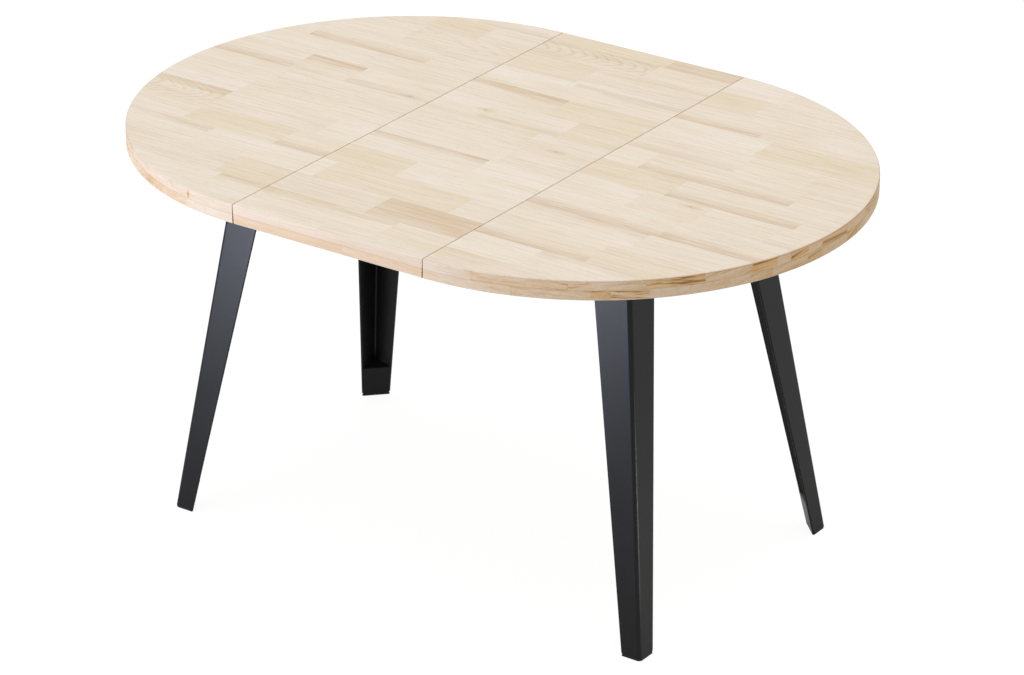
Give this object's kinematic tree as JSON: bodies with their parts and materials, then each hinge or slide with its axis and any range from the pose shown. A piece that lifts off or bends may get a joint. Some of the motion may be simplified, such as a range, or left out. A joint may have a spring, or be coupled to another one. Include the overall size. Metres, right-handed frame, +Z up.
{
  "type": "extending dining table",
  "caption": "Round extending dining table on splayed angle legs; its halves slide apart on geared wooden slides to take a loose leaf.",
  "frame": {"origin": "on the floor under the middle of the extended table", "axes": "+X along the way the table pulls out, towards the right half; +Y across it to the back; +Z up"},
  "size_m": [1.3998, 1, 0.75],
  "materials": {
    "rubberwood": "finger-jointed staves, clear matt oil",
    "beech": "planed, unfinished",
    "black_steel": "satin powder coat",
    "zinc_steel": "zinc plated",
    "nylon": "moulded",
    "glide_plastic": "moulded"
  },
  "bodies": {
    "centre_frame": {"front_rail": "beech", "back_rail": "beech", "left_tie": "beech", "right_tie": "beech", "pinion_pins": "zinc_steel", "tie_screws": "zinc_steel"},
    "left_half": {"left_back_bar": "beech", "left_back_foot_plate": "black_steel", "left_back_glide": "glide_plastic", "left_back_leg": "black_steel", "left_back_leg_plate": "black_steel", "left_back_rack": "nylon", "left_bar_screws": "zinc_steel", "left_front_bar": "beech", "left_front_foot_plate": "black_steel", "left_front_glide": "glide_plastic", "left_front_leg": "black_steel", "left_front_leg_plate": "black_steel", "left_front_rack": "nylon", "left_latch_screws": "zinc_steel", "left_leg_screws": "zinc_steel", "left_lower_board": "rubberwood", "left_upper_board": "rubberwood"},
    "right_half": {"right_back_bar": "beech", "right_back_foot_plate": "black_steel", "right_back_glide": "glide_plastic", "right_back_leg": "black_steel", "right_back_leg_plate": "black_steel", "right_back_rack": "nylon", "right_bar_screws": "zinc_steel", "right_front_bar": "beech", "right_front_foot_plate": "black_steel", "right_front_glide": "glide_plastic", "right_front_leg": "black_steel", "right_front_leg_plate": "black_steel", "right_front_rack": "nylon", "right_latch_screws": "zinc_steel", "right_leg_screws": "zinc_steel", "right_lower_board": "rubberwood", "right_upper_board": "rubberwood"},
    "leaf": {"leaf_latch_screws": "zinc_steel", "leaf_lower_board": "rubberwood", "leaf_upper_board": "rubberwood"},
    "front_pinion": {"front_pinion": "nylon"},
    "back_pinion": {"back_pinion": "nylon"},
    "leaf_hook": {"leaf_hook": "zinc_steel"},
    "left_hook": {"left_hook": "zinc_steel"}
  },
  "joints": [
    {"name": "leaf_lift", "type": "slide", "parent": "centre_frame", "child": "leaf", "axis": [0, 0, 1], "range_m": [0, 1.6]},
    {"name": "left_half_slide", "type": "slide", "parent": "centre_frame", "child": "left_half", "axis": [1, 0, 0], "range_m": [0, 0.2]},
    {"name": "right_half_slide", "type": "slide", "parent": "centre_frame", "child": "right_half", "axis": [-1, 0, 0], "range_m": [0, 0.2]},
    {"name": "front_pinion_turn", "type": "hinge", "parent": "centre_frame", "child": "front_pinion", "pos_m": [0, -0.262, 0.682], "axis": [0, 0, 1], "range_deg": [0, 764]},
    {"name": "back_pinion_turn", "type": "hinge", "parent": "centre_frame", "child": "back_pinion", "pos_m": [0, 0.262, 0.682], "axis": [0, 0, 1], "range_deg": [-764, 0]},
    {"name": "left_hook_turn", "type": "hinge", "parent": "left_half", "child": "left_hook", "pos_m": [-0.2206, 0, 0.71245], "axis": [0, 0, 1], "range_deg": [0, 90]},
    {"name": "leaf_hook_turn", "type": "hinge", "parent": "leaf", "child": "leaf_hook", "pos_m": [0.1794, 0, 0.71245], "axis": [0, 0, 1], "range_deg": [0, 90]}
  ],
  "couplings": [
    {"joint": "left_half_slide", "follows": "leaf_lift", "ratio": 0.125},
    {"joint": "right_half_slide", "follows": "leaf_lift", "ratio": 0.125},
    {"joint": "front_pinion_turn", "follows": "leaf_lift", "rad_per_m": 8.3333},
    {"joint": "back_pinion_turn", "follows": "leaf_lift", "rad_per_m": -8.3333}
  ]
}
